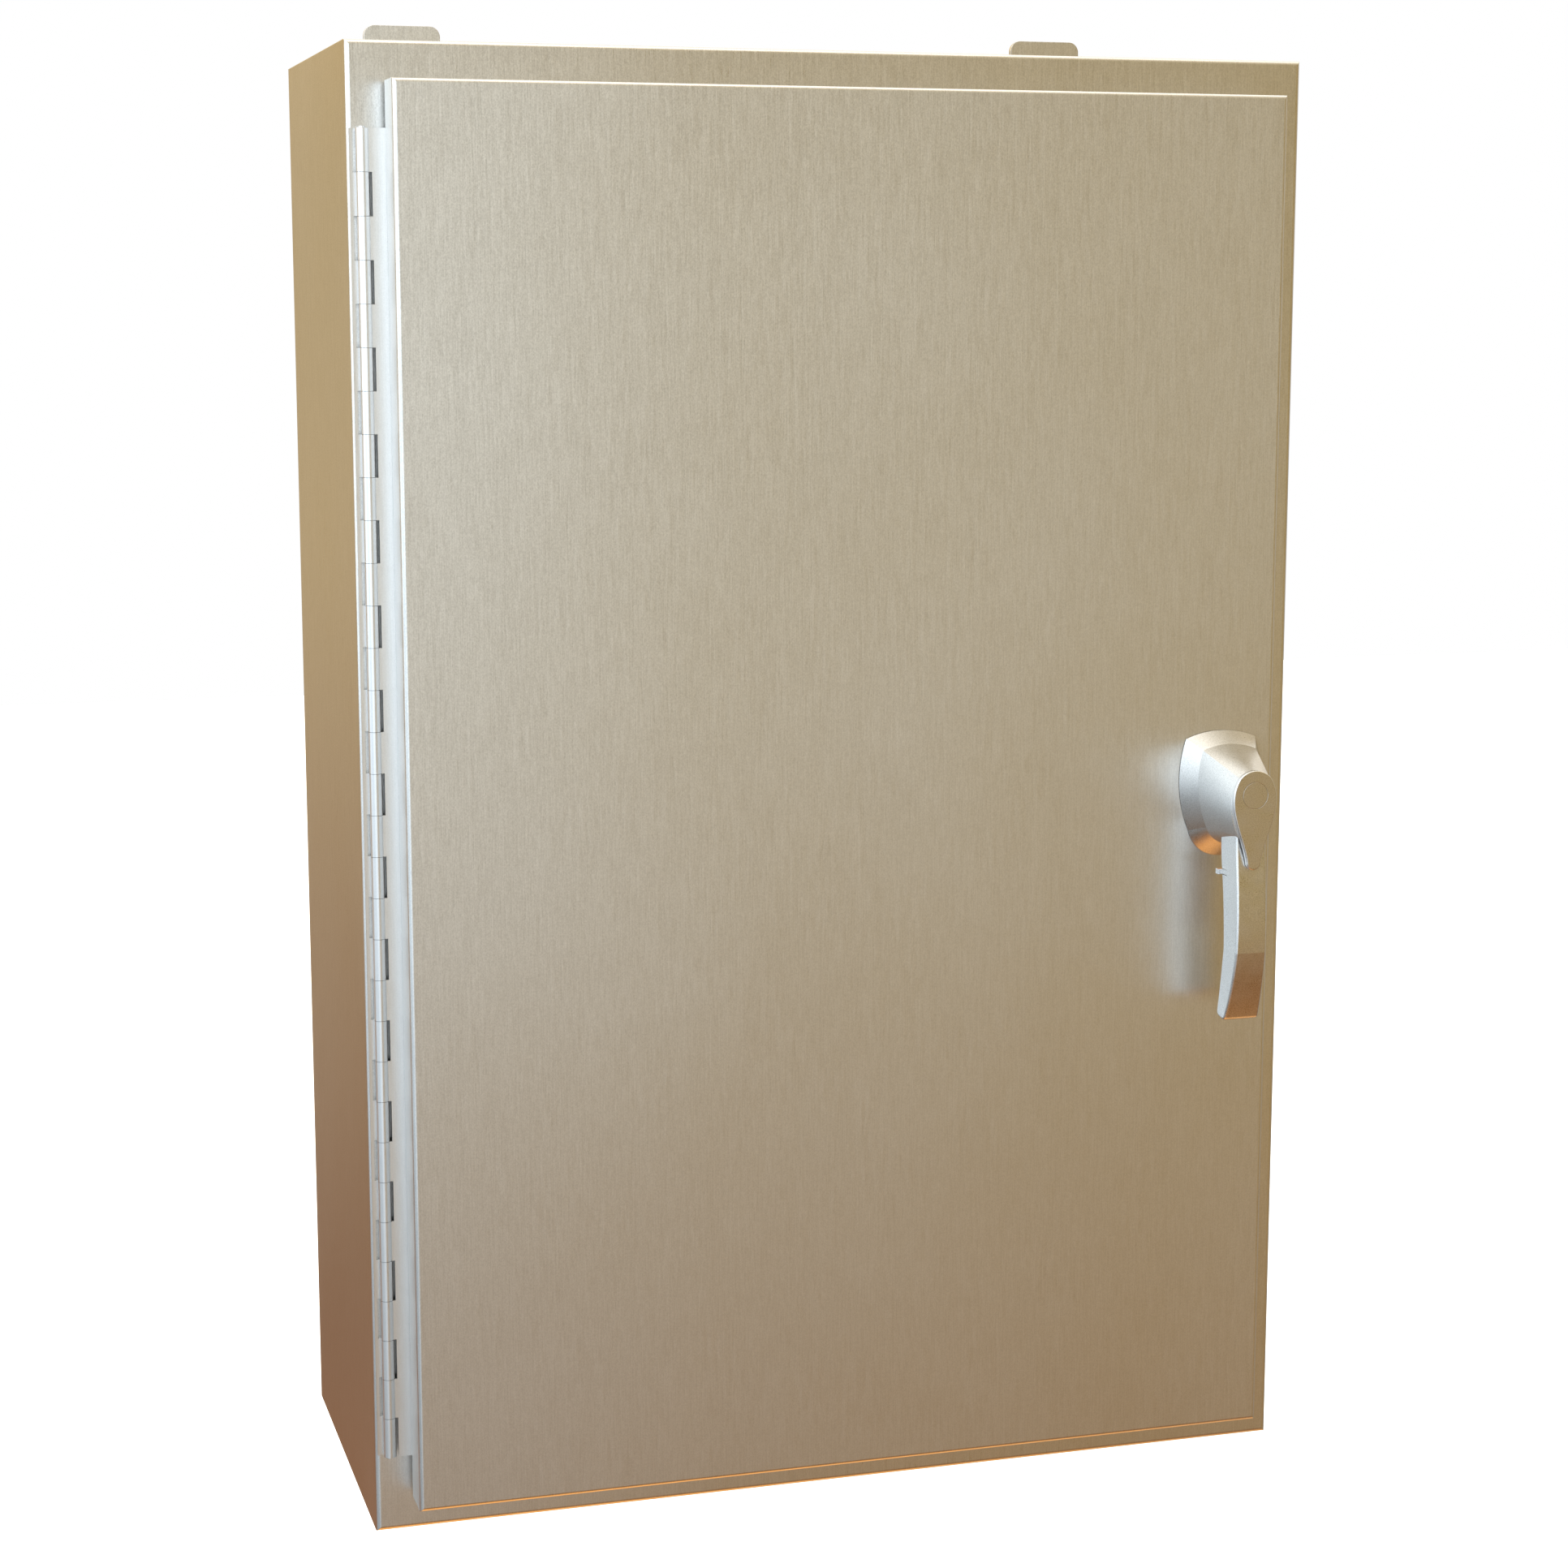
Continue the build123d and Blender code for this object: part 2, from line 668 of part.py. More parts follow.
def cam_clips():
    """Snap rings that hold the rods on the cam pins."""
    clips = []
    for sign in (-1, 1):
        x = AXIS_X + sign * PIN_AT
        z = sign * PIN_AT
        clip = round_y(x, z, CLIP_RING_Y0, CLIP_RING_Y1, CAM_PIN_R + CLIP_RING_WALL)
        clips.append(clip - round_y(x, z, CLIP_RING_Y0, CLIP_RING_Y1, CAM_PIN_R))
    return clips


def rod_fork(sign, near, far):
    """The rod's inner end, with a slot for the cam pin that is open towards the shaft."""
    pin_z = -sign * PIN_AT
    slot = CAM_PIN_R + FORK_PLAY
    end = slot + FORK_WALL
    fork = span(near, far - sign * FORK_STEP, ROD_Y0, ROD_Y1, pin_z - end, pin_z + end)
    deepest = AXIS_X - sign * (CAM_THROW + slot)
    return fork, span(near, deepest, ROD_Y0, ROD_Y1, pin_z - slot, pin_z + slot)


def rod_ears(sign, near, far):
    """The rod's outer end: two ears with the roller between them."""
    y0 = ROLLER_Y - EAR_D
    y1 = ROLLER_Y + EAR_D
    tip = sign * ROD_TIP
    ears = span(near, far, y0, y1, sign * ROD_EARS_Z, tip)
    middle = (near + far) / 2
    half = (ROD_FAR - ROD_NEAR) / 2 - EAR_T
    gap_z = sign * (ROLLER_Z - ROLLER_R - ROLLER_ROOM)
    ears -= span(middle - half, middle + half, y0, y1, gap_z, tip)
    return ears - round_x(ROLLER_Y, sign * ROLLER_Z, near, far, AXLE_R)


def latch_rod(sign):
    """Flat rod; sign is +1 for the upper one, left of the shaft, -1 for the lower one."""
    near = AXIS_X - sign * ROD_NEAR
    far = AXIS_X - sign * ROD_FAR
    fork, slot = rod_fork(sign, near, far)
    rod = span(near, far, ROD_Y0, ROD_Y1, -sign * PIN_AT, sign * ROD_EARS_Z)
    return rod + fork - slot + rod_ears(sign, near, far)


def roller_axle(sign):
    near = AXIS_X - sign * ROD_NEAR
    far = AXIS_X - sign * ROD_FAR
    return round_x(ROLLER_Y, sign * ROLLER_Z, near, far, AXLE_R)


def latch_roller(sign):
    middle = AXIS_X - sign * (ROD_NEAR + ROD_FAR) / 2
    half = ROLLER_W / 2
    tyre = round_x(ROLLER_Y, sign * ROLLER_Z, middle - half, middle + half, ROLLER_R)
    return tyre - round_x(ROLLER_Y, sign * ROLLER_Z, middle - half, middle + half, AXLE_R + FIT)


def rod_guide(sign):
    """Welded bracket with a loop that keeps a rod in line behind the door skin."""
    z0 = sign * GUIDE_Z - GUIDE_HALF
    z1 = sign * GUIDE_Z + GUIDE_HALF
    near_in = AXIS_X - sign * (ROD_NEAR - GAP)
    far_in = AXIS_X - sign * (ROD_FAR + GAP)
    near = near_in + sign * GUIDE_WALL
    far = far_in - sign * GUIDE_WALL
    loop_y = ROD_Y0 - GAP - GUIDE_WALL
    end_y = ROD_Y1 + GAP + GUIDE_WALL
    guide = span(near, near - sign * GUIDE_FOOT, SKIN_Y, SKIN_Y + SHEET, z0, z1)
    guide += span(near, near_in, SKIN_Y, end_y, z0, z1)
    guide += span(near, far, loop_y, end_y, z0, z1)
    return guide - span(near_in, far_in, ROD_Y0 - GAP, ROD_Y1 + GAP, z0, z1)


def shaft_socket():
    """Cup on the inner end of the handle shaft, with a flared square mouth."""
    square = SQUARE / 2
    half = SOCKET_HALF
    cup = round_y(AXIS_X, 0, SOCKET_Y0, SOCKET_Y1, SOCKET_R)
    cup -= span(AXIS_X - square, AXIS_X + square, SOCKET_Y0, SOCKET_SEAT_Y, -square, square)
    cup -= span(AXIS_X - half, AXIS_X + half, SOCKET_SEAT_Y, SOCKET_Y1, -half, half)
    flare = Cone(SOCKET_R - SOCKET_RIM, half, SOCKET_FLARE)
    return cup - Pos(AXIS_X, SOCKET_Y1 - SOCKET_FLARE / 2, 0) * Rot(90, 0, 0) * flare


# ---- back panel ------------------------------------------------------------
def stud_places():
    return [(x, z) for x in (-STUD_X, STUD_X) for z in (-STUD_Z, STUD_Z)]


def back_panel():
    panel = span(-PANEL_W, PANEL_W, PANEL_Y0, PANEL_Y1, -PANEL_H, PANEL_H)
    holes = [round_y(x, z, PANEL_Y0, PANEL_Y1, STUD_R + STUD_ROOM) for x, z in stud_places()]
    return panel - holes


def panel_studs():
    """Collar studs welded to the enclosure's back."""
    studs = []
    for x, z in stud_places():
        collar = round_y(x, z, FLOOR_Y, PANEL_Y1, COLLAR_R)
        studs.append(collar + round_y(x, z, PANEL_Y1, STUD_END_Y, STUD_R))
    return studs


def panel_nuts():
    nuts = []
    for x, z in stud_places():
        nut = hex_y(x, z, PANEL_Y0 - STUD_NUT_T, PANEL_Y0, STUD_NUT_AF)
        nuts.append(nut - round_y(x, z, PANEL_Y0 - STUD_NUT_T, PANEL_Y0, STUD_R))
    return nuts


# ---- switch ----------------------------------------------------------------
def switch_base():
    base = span(BASE_X0, BASE_X1, BASE_Y, PANEL_Y0, BASE_Z0, BASE_Z1)
    return chamfer(base.faces().sort_by(Axis.Y)[0].edges(), BASE_CHAMFER)


def rotor_pivots():
    """Headed studs that the rotors turn on."""
    studs = []
    for x in POLES:
        stud = round_y(x, 0, BASE_Y, PIVOT_HEAD_Y, PIVOT_R)
        studs.append(stud + round_y(x, 0, DISC_Y0 - GAP, PIVOT_HEAD_Y, PIVOT_HEAD_R))
    return studs


def crank(x, hub_r, hub_y, bore_r):
    """Hub and crank disc with one pin, up and to the left of the axis when open."""
    body = round_y(x, 0, hub_y, DISC_Y1, hub_r)
    body += round_y(x, 0, DISC_Y0, DISC_Y1, DISC_R)
    body += round_y(x - CRANK_AT, CRANK_AT, DISC_Y0, BAR_Y0 - CRANK_PIN_OVER, CRANK_PIN_R)
    return body - round_y(x, 0, hub_y, DISC_Y0, bore_r)


def rotor(x):
    """Moulded hub that carries a blade through its slot."""
    hub = crank(x, HUB_R, BASE_Y - HUB_LIFT, PIVOT_R + FIT)
    return hub - span(x - HUB_R, x + HUB_R, BLADE_Y0, BLADE_Y1, -BLADE_W / 2, BLADE_W / 2)


def switch_blade(x):
    """Double-ended moving contact; it lies across the pole when the switch is open."""
    blade = span(x - BLADE_HALF, x + BLADE_HALF, BLADE_Y0, BLADE_Y1, -BLADE_W / 2, BLADE_W / 2)
    return blade - round_y(x, 0, BLADE_Y0, BLADE_Y1, PIVOT_R + PIVOT_ROOM)


def yoke_bar():
    """Slotted bar that couples the operating shaft to the three rotors."""
    bar = span(POLE_X - CRANK_AT - BAR_TAIL, BAR_X1, BAR_Y0, BAR_Y1, BAR_Z0, BAR_Z1)
    for x in POLES + [AXIS_X]:
        pin_x = x - CRANK_AT
        bar -= span(pin_x - SLOT_HALF, pin_x + SLOT_HALF, BAR_Y0, BAR_Y1, SLOT_Z0, SLOT_Z1)
    return bar


def barrier_places():
    return [POLE_X - POLE_PITCH / 2 + POLE_PITCH * i for i in range(4)]


def phase_barriers():
    """Fibre walls between the poles; the yoke bar slides through them."""
    walls = []
    for x in barrier_places():
        half = BARRIER_T / 2
        wall = span(x - half, x + half, BARRIER_Y, BASE_Y, BARRIER_Z0, BARRIER_Z1)
        window = span(x - half, x + half, BAR_Y0 - GAP, BAR_Y1 + GAP, BAR_Z0 - GAP, BAR_Z1 + GAP)
        walls.append(wall - window)
    return walls


def line_shield():
    """Clear cover over the incoming terminals."""
    shield = span(BASE_X0, BASE_X1, BARRIER_Y - SHIELD_T, BARRIER_Y, SHIELD_Z0, BARRIER_Z1)
    return fillet(shield.edges().filter_by(Axis.Y), SHIELD_CORNER_R)


def jaw(x, end):
    """Forked fixed contact; end is +1 above the rotor and -1 below it."""
    top = BLADE_Y0 - GAP
    bottom = BLADE_Y1 + GAP
    x0 = x - JAW_HALF
    x1 = x + JAW_HALF
    block = span(x0, x1, top - JAW_LEAF, STRAP_Y, end * JAW_Z0, end * JAW_Z1)
    return block - span(x0, x1, top, bottom, end * JAW_Z0, end * (JAW_Z0 + JAW_DEPTH))


def strap(x, z0, z1):
    """Flat bus strap on the base."""
    return span(x - STRAP_HALF, x + STRAP_HALF, STRAP_Y, BASE_Y, z0, z1)


def line_contacts():
    """Upper jaws, each on the strap that leads up to its line lug."""
    return [jaw(x, 1) + strap(x, JAW_Z0 + JAW_LAP, LINE_LUG_Z + LUG_L) for x in POLES]


def fuse_clip(x, z0):
    """Channel that grips a fuse blade, open to the front."""
    half = FUSE_BLADE_T / 2
    side = half + CLIP_LEAF
    channel = span(x - side, x + side, FUSE_Y - FUSE_BLADE_W / 2, STRAP_Y, z0, z0 + CLIP_L)
    slot_y = STRAP_Y - CLIP_FLOOR
    return channel - span(x - half, x + half, FUSE_Y - FUSE_BLADE_W / 2, slot_y, z0, z0 + CLIP_L)


def fuse_clips_line():
    """Upper fuse clips, each on a strap with its pole's lower jaw."""
    z0 = FUSE_Z + FUSE_L / 2 - CLIP_SETBACK - CLIP_L
    return [jaw(x, -1) + strap(x, z0, -JAW_Z0 - JAW_LAP) + fuse_clip(x, z0) for x in POLES]


def fuse_clips_load():
    """Lower fuse clips, each on the strap that leads down to its load lug."""
    z0 = FUSE_Z - FUSE_L / 2 + CLIP_SETBACK
    return [strap(x, LOAD_LUG_Z, z0 + CLIP_L) + fuse_clip(x, z0) for x in POLES]


def lug_screw(x, z):
    """Socket set screw, backed out to clear the cable bore."""
    head_y = LUG_Y0 - LUG_SCREW_OUT
    tip_y = LUG_BORE_Y - LUG_BORE_R - LUG_SCREW_CLEAR
    screw = round_y(x, z, head_y, tip_y, LUG_SCREW_R)
    return screw - hex_y(x, z, head_y, head_y + LUG_HEX_D, LUG_HEX_AF)


def lug(x, z0, mouth):
    """Box lug; its cable bore opens up (mouth +1) or down (mouth -1)."""
    block = span(x - LUG_W / 2, x + LUG_W / 2, LUG_Y0, STRAP_Y, z0, z0 + LUG_L)
    open_z = z0 + LUG_L if mouth > 0 else z0
    block -= round_z(x, LUG_BORE_Y, open_z - mouth * LUG_BORE_L, open_z, LUG_BORE_R)
    return block - round_y(x, z0 + LUG_L / 2, LUG_Y0, LUG_BORE_Y, LUG_SCREW_R)


def lug_screws():
    heights = (LINE_LUG_Z + LUG_L / 2, LOAD_LUG_Z + LUG_L / 2)
    return [lug_screw(x, z) for x in POLES for z in heights]


def fuse_body(x):
    """Fuse tube between its two end caps."""
    half = FUSE_TUBE_L / 2 - FUSE_CAP_L
    return round_z(x, FUSE_Y, FUSE_Z - half, FUSE_Z + half, FUSE_R)


def fuse_ends(x):
    """End caps with knife blades."""
    half_t = FUSE_BLADE_T / 2
    front_y = FUSE_Y - FUSE_BLADE_W / 2
    back_y = FUSE_Y + FUSE_BLADE_W / 2 - FUSE_BLADE_TRIM
    ends = []
    for end in (-1, 1):
        z_tube = FUSE_Z + end * (FUSE_TUBE_L / 2 - FUSE_CAP_L)
        z_cap = FUSE_Z + end * FUSE_TUBE_L / 2
        z_tip = FUSE_Z + end * FUSE_L / 2
        cap = round_z(x, FUSE_Y, z_tube, z_cap, FUSE_R)
        ends.append(cap + span(x - half_t, x + half_t, front_y, back_y, z_cap, z_tip))
    return ends


# ---- operating mechanism ---------------------------------------------------
def mechanism_frame():
    """Bent stirrup that carries the operating shaft."""
    x0 = AXIS_X - FRAME_HALF
    x1 = AXIS_X + FRAME_HALF
    frame = span(x0, x1, FRAME_Y, PANEL_Y0, -FRAME_H, FRAME_H)
    inside = FRAME_H - FRAME_T
    frame -= span(x0, x1, FRAME_Y + FRAME_T, PANEL_Y0 - FRAME_T, -inside, inside)
    return frame - round_y(AXIS_X, 0, FRAME_Y, PANEL_Y0, SWITCH_SHAFT_R + FIT)


def switch_shaft():
    """Operating shaft with a square tip that enters the handle's socket."""
    shaft = round_y(AXIS_X, 0, SHAFT_SQUARE_Y, PANEL_Y0, SWITCH_SHAFT_R)
    half = SHAFT_TIP_HALF
    tip = span(AXIS_X - half, AXIS_X + half, SHAFT_TIP_Y, SHAFT_SQUARE_Y, -half, half)
    return shaft + chamfer(tip.faces().sort_by(Axis.Y)[0].edges(), SHAFT_TIP_CHAMFER)


def shaft_crank():
    return crank(AXIS_X, SHAFT_HUB_R, SHAFT_HUB_Y, SWITCH_SHAFT_R)


def ground_bar():
    """Upright earthing bar on two feet, with a row of wire holes and screw heads."""
    x0 = GROUND_X - GROUND_HALF
    x1 = GROUND_X + GROUND_HALF
    back_y = GROUND_Y + GROUND_T
    bar = span(x0, x1, GROUND_Y, back_y, GROUND_Z0, GROUND_Z1)
    for z in (GROUND_Z0, GROUND_Z1 - GROUND_FOOT_L):
        bar += span(x0, x1, back_y, PANEL_Y0, z, z + GROUND_FOOT_L)
    for i in range(GROUND_WIRES):
        z = (GROUND_Z0 + GROUND_Z1) / 2 + GROUND_PITCH * (i - (GROUND_WIRES - 1) / 2)
        bar -= round_x(GROUND_Y + GROUND_T / 2, z, x0, x1, GROUND_WIRE_R)
        bar += round_y(GROUND_X, z, GROUND_Y - GROUND_SCREW_H, GROUND_Y, GROUND_SCREW_R)
    return bar


# ---- write the sub-parts ----------------------------------------------------
save("enclosure_body", enclosure_body())
save("mounting_feet", *mounting_feet())
save("hinge_body_leaf", hinge_body_leaf())
save("hinge_door_leaf", hinge_door_leaf())
save("hinge_pin", hinge_pin())

save("door_panel", door_panel())
save("door_gasket", door_gasket())
save("door_stiffener_left", door_stiffener(STIFFENER_LEFT_X))
save("door_stiffener_right", door_stiffener(STIFFENER_RIGHT_X))
save("data_pocket", data_pocket())

save("handle_casting", handle_casting())
save("handle_lever", handle_lever())
save("handle_plug", handle_plug())
save("handle_screw", handle_screw())
save("lock_tab", lock_tab())
save("handle_seal", handle_seal())
save("handle_shaft", handle_shaft())
save("door_bushing", door_bushing())
save("bushing_nut", bushing_nut())

save("latch_cam", latch_cam())
save("cam_clips", *cam_clips())
for level, sign in (("upper", 1), ("lower", -1)):
    save("latch_rod_" + level, latch_rod(sign))
    save("latch_roller_" + level, latch_roller(sign))
    save("roller_axle_" + level, roller_axle(sign))
    save("rod_guide_" + level, rod_guide(sign))
save("shaft_socket", shaft_socket())

save("back_panel", back_panel())
save("panel_studs", *panel_studs())
save("panel_nuts", *panel_nuts())

save("switch_base", switch_base())
save("rotor_pivots", *rotor_pivots())
for pole, x in zip("abc", POLES):
    save("rotor_" + pole, rotor(x))
    save("blade_" + pole, switch_blade(x))
    save("fuse_body_" + pole, fuse_body(x))
    save("fuse_ends_" + pole, *fuse_ends(x))
save("yoke_bar", yoke_bar())
save("phase_barriers", *phase_barriers())
save("line_shield", line_shield())
save("line_contacts", *line_contacts())
save("fuse_clips_line", *fuse_clips_line())
save("fuse_clips_load", *fuse_clips_load())
save("line_lugs", *[lug(x, LINE_LUG_Z, 1) for x in POLES])
save("load_lugs", *[lug(x, LOAD_LUG_Z, -1) for x in POLES])
save("lug_screws", *lug_screws())
save("mechanism_frame", mechanism_frame())
save("switch_shaft", switch_shaft())
save("shaft_crank", shaft_crank())
save("ground_bar", ground_bar())
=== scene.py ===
import math

import bpy
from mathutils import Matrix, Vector


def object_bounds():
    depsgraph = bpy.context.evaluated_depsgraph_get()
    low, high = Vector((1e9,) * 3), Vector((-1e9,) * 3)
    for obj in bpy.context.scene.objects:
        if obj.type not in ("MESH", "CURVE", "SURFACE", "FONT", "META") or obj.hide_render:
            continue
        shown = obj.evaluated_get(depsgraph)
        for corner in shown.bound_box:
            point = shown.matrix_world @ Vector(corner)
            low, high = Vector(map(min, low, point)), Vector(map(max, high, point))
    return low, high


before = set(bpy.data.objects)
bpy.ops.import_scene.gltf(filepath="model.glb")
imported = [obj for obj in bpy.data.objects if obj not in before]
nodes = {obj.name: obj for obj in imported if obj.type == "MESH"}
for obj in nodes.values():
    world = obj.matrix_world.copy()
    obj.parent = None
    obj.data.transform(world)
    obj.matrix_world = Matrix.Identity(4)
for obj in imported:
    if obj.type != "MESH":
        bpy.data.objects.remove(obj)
cad_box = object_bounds()


# ---- camera -----------------------------------------------------------------
# The view that fits the photograph: metres, degrees downward and to the right, millimetres.
CAMERA_PLACE = (-0.5711, -2.0681, 0.3084)
CAMERA_DOWN = 9.08
CAMERA_RIGHT = 16.396
LENS = 69.83
SENSOR_WIDTH = 36.0
FARTHEST_SEEN = 50.0


def make_camera():
    """A long lens a little above the door's middle, left of the enclosure."""
    data = bpy.data.cameras.new("camera")
    data.lens = LENS
    data.sensor_width = SENSOR_WIDTH
    data.clip_end = FARTHEST_SEEN
    camera = bpy.data.objects.new("camera", data)
    bpy.context.scene.collection.objects.link(camera)
    camera.location = CAMERA_PLACE
    camera.rotation_euler = (math.radians(90.0 - CAMERA_DOWN), 0.0, math.radians(-CAMERA_RIGHT))
    bpy.context.scene.camera = camera


# ---- node helpers -----------------------------------------------------------
# Rays that a bevel or crevice lookup sends out.
LOOKUPS = 6
# How far a rounded normal leans where an edge starts to be rubbed, and where it is bare.
WEAR_STARTS = 0.02
WEAR_ENDS = 0.2
# Open sky at which a gap is painted fully in shade, and at which no painted shade is left.
FULL_SHADE_SKY = 0.12
NO_SHADE_SKY = 0.46


class Nodes:
    """A node tree, with short names for the nodes used here."""

    def __init__(self, tree):
        self.tree = tree

    def node(self, kind, **settings):
        made = self.tree.nodes.new(kind)
        for key, value in settings.items():
            setattr(made, key, value)
        return made

    def plug(self, source, socket):
        """Links a socket, or sets a plain value."""
        if isinstance(source, bpy.types.NodeSocket):
            self.tree.links.new(source, socket)
        else:
            socket.default_value = source

    def remap(self, value, low, high, to_low, to_high, smooth=False):
        """The value moved from one range to another, and held at its ends."""
        made = self.node("ShaderNodeMapRange")
        if smooth:
            made.interpolation_type = "SMOOTHSTEP"
        self.plug(value, made.inputs["Value"])
        ends = {"From Min": low, "From Max": high, "To Min": to_low, "To Max": to_high}
        for key, number in ends.items():
            self.plug(number, made.inputs[key])
        return made.outputs["Result"]

    def fade(self, value, start, end, top=1.0):
        """Smoothly from 0 where the value is at the start to the top where it is at the end."""
        return self.remap(value, start, end, 0.0, top, True)

    def math(self, operation, a, b=0.0):
        made = self.node("ShaderNodeMath", operation=operation)
        self.plug(a, made.inputs[0])
        self.plug(b, made.inputs[1])
        return made.outputs["Value"]

    def mix(self, factor, a, b):
        made = self.node("ShaderNodeMix", data_type="RGBA")
        self.plug(factor, made.inputs["Factor"])
        # the colour sockets of a mix node are its seventh and eighth
        self.plug(rgba(a), made.inputs[6])
        self.plug(rgba(b), made.inputs[7])
        return made.outputs[2]

    def axis(self, source, name):
        made = self.node("ShaderNodeSeparateXYZ")
        self.plug(source, made.inputs["Vector"])
        return made.outputs[name]

    def ramp(self, value, stops):
        """A colour ramp through (position, colour) stops."""
        made = self.node("ShaderNodeValToRGB")
        elements = made.color_ramp.elements
        while len(elements) < len(stops):
            elements.new(0.5)
        for element, (position, colour) in zip(elements, stops):
            element.position = position
            element.color = rgba(colour)
        self.plug(value, made.inputs["Fac"])
        return made.outputs["Color"]


class Finish(Nodes):
    """A material built on the principled shader, textured over object space."""

    def __init__(self, name):
        self.material = bpy.data.materials.new(name)
        self.material.use_nodes = True
        super().__init__(self.material.node_tree)
        self.shader = self.tree.nodes["Principled BSDF"]
        self.coords = self.node("ShaderNodeTexCoord").outputs["Object"]

    def set(self, **values):
        for key, value in values.items():
            self.plug(value, self.shader.inputs[key.replace("_", " ")])

    def noise(self, scale, stretch=(1.0, 1.0, 1.0), detail=3.0, rough=0.5, distortion=0.0):
        """Noise over object space; scale is in cycles per metre before the stretch."""
        mapping = self.node("ShaderNodeMapping")
        mapping.inputs["Scale"].default_value = stretch
        self.plug(self.coords, mapping.inputs["Vector"])
        made = self.node("ShaderNodeTexNoise")
        made.inputs["Scale"].default_value = scale
        made.inputs["Detail"].default_value = detail
        made.inputs["Roughness"].default_value = rough
        made.inputs["Distortion"].default_value = distortion
        self.plug(mapping.outputs["Vector"], made.inputs["Vector"])
        return made.outputs["Fac"]

    def edge_wear(self, radius):
        """1 along sharp edges: how far a rounded normal leans from the flat one."""
        bevel = self.node("ShaderNodeBevel", samples=LOOKUPS)
        bevel.inputs["Radius"].default_value = radius
        flat = self.node("ShaderNodeNewGeometry").outputs["Normal"]
        dot = self.node("ShaderNodeVectorMath", operation="DOT_PRODUCT")
        self.plug(bevel.outputs["Normal"], dot.inputs[0])
        self.plug(flat, dot.inputs[1])
        lean = self.math("SUBTRACT", 1.0, dot.outputs["Value"])
        return self.remap(lean, WEAR_STARTS, WEAR_ENDS, 0.0, 1.0)

    def crevice_shade(self, reach):
        """0 deep in a gap narrower than the reach, 1 where the surface lies open: the mask of the painted
        shade in gaps.
        """
        sky = self.node("ShaderNodeAmbientOcclusion", samples=LOOKUPS)
        sky.inputs["Distance"].default_value = reach
        return self.remap(sky.outputs["AO"], FULL_SHADE_SKY, NO_SHADE_SKY, 0.0, 1.0)

    def roughen(self, source, low, high, middle, less, more):
        """Roughness from a little below the middle to a little above, as the source goes."""
        self.set(Roughness=self.remap(source, low, high, middle - less, middle + more))

    def bump(self, height, strength, distance, soften=0.0):
        """Relief on the surface. Soften is the radius that rounds the shading of sharp edges."""
        made = self.node("ShaderNodeBump")
        made.inputs["Strength"].default_value = strength
        made.inputs["Distance"].default_value = distance
        self.plug(height, made.inputs["Height"])
        if soften:
            bevel = self.node("ShaderNodeBevel", samples=LOOKUPS)
            bevel.inputs["Radius"].default_value = soften
            self.plug(bevel.outputs["Normal"], made.inputs["Normal"])
        self.plug(made.outputs["Normal"], self.shader.inputs["Normal"])


def rgba(colour):
    """A colour with full alpha. A socket comes back as it is."""
    if isinstance(colour, tuple) and len(colour) == 3:
        return (*colour, 1.0)
    return colour


# ---- metals -----------------------------------------------------------------
# The grain of brushed sheet: cycles per metre, and how far each is drawn out along Z.
SHORT_STROKES = 1600.0
LONG_STROKES = 1150.0
SPECKS = 1500.0
CLOUDS = 3.2
SHORT_DRAWN = (1.0, 1.0, 0.06)
LONG_DRAWN = (1.0, 1.0, 0.025)
SPECKS_DRAWN = (1.0, 1.0, 0.7)
CLOUDS_DRAWN = (1.0, 1.0, 0.8)
# Painted light: Z less X, in metres, where the grain's contrast is faintest and where strongest, and that
# contrast.
FAINT_GRAIN_CORNER = -0.40
STRONG_GRAIN_CORNER = 0.72
FAINT_GRAIN_CONTRAST = 1.6
STRONG_GRAIN_CONTRAST = 3.5
# How far the painted shade in gaps reaches, in metres, on sheet and on castings.
SHEET_GAP = 0.003
CASTING_GAP = 0.0012
# Near-black painted shade for gaps and crevices.
GAP_SHADE_BLACK = (0.012, 0.011, 0.010)
RUBBED = (0.92, 0.91, 0.90)


def brushed_steel(name, base, dark, roughness, spread, grain=1.0, gap_shade=GAP_SHADE_BLACK, soften=0.0006):
    """Sheet brushed along Z: short and long strokes and a sandy speck. Painted light: the grain's contrast
    rises up and to the left, as it looks in the photograph. Painted shade darkens the gaps."""
    m = Finish(name)
    tangent = m.node("ShaderNodeTangent", direction_type="RADIAL", axis="Z")
    m.set(Anisotropic=spread, Tangent=tangent.outputs["Tangent"])
    short = m.noise(SHORT_STROKES, SHORT_DRAWN, 2.0, 0.55)
    long = m.noise(LONG_STROKES, LONG_DRAWN, 2.0, 0.6)
    speck = m.noise(SPECKS, SPECKS_DRAWN, 1.0, 0.6)
    cloud = m.noise(CLOUDS, CLOUDS_DRAWN, 2.0, 0.5)
    streak = m.math("ADD", m.math("MULTIPLY", short, 0.6), m.math("MULTIPLY", long, 0.4))
    tooth = m.math("ADD", m.math("MULTIPLY", streak, 0.55), m.math("MULTIPLY", speck, 0.45))
    # Painted light: the grain's contrast rises up and to the left, copying where the light shows the
    # brushing most.
    slant = m.math("SUBTRACT", m.axis(m.coords, "Z"), m.axis(m.coords, "X"))
    faintest = FAINT_GRAIN_CONTRAST * grain
    strongest = STRONG_GRAIN_CONTRAST * grain
    contrast = m.remap(slant, FAINT_GRAIN_CORNER, STRONG_GRAIN_CORNER, faintest, strongest, True)
    shade = m.math("ADD", m.math("MULTIPLY", m.math("SUBTRACT", tooth, 0.5), contrast), 0.5)
    colour = m.mix(shade, dark, base)
    # Painted shade: the colour goes to near black deep in gaps.
    m.set(Base_Color=m.mix(m.crevice_shade(SHEET_GAP), gap_shade, colour), Metallic=1.0)
    m.roughen(m.math("ADD", streak, cloud), 0.6, 1.4, roughness, 0.04, 0.05)
    m.bump(tooth, 0.26, 0.0001, soften)
    return m.material


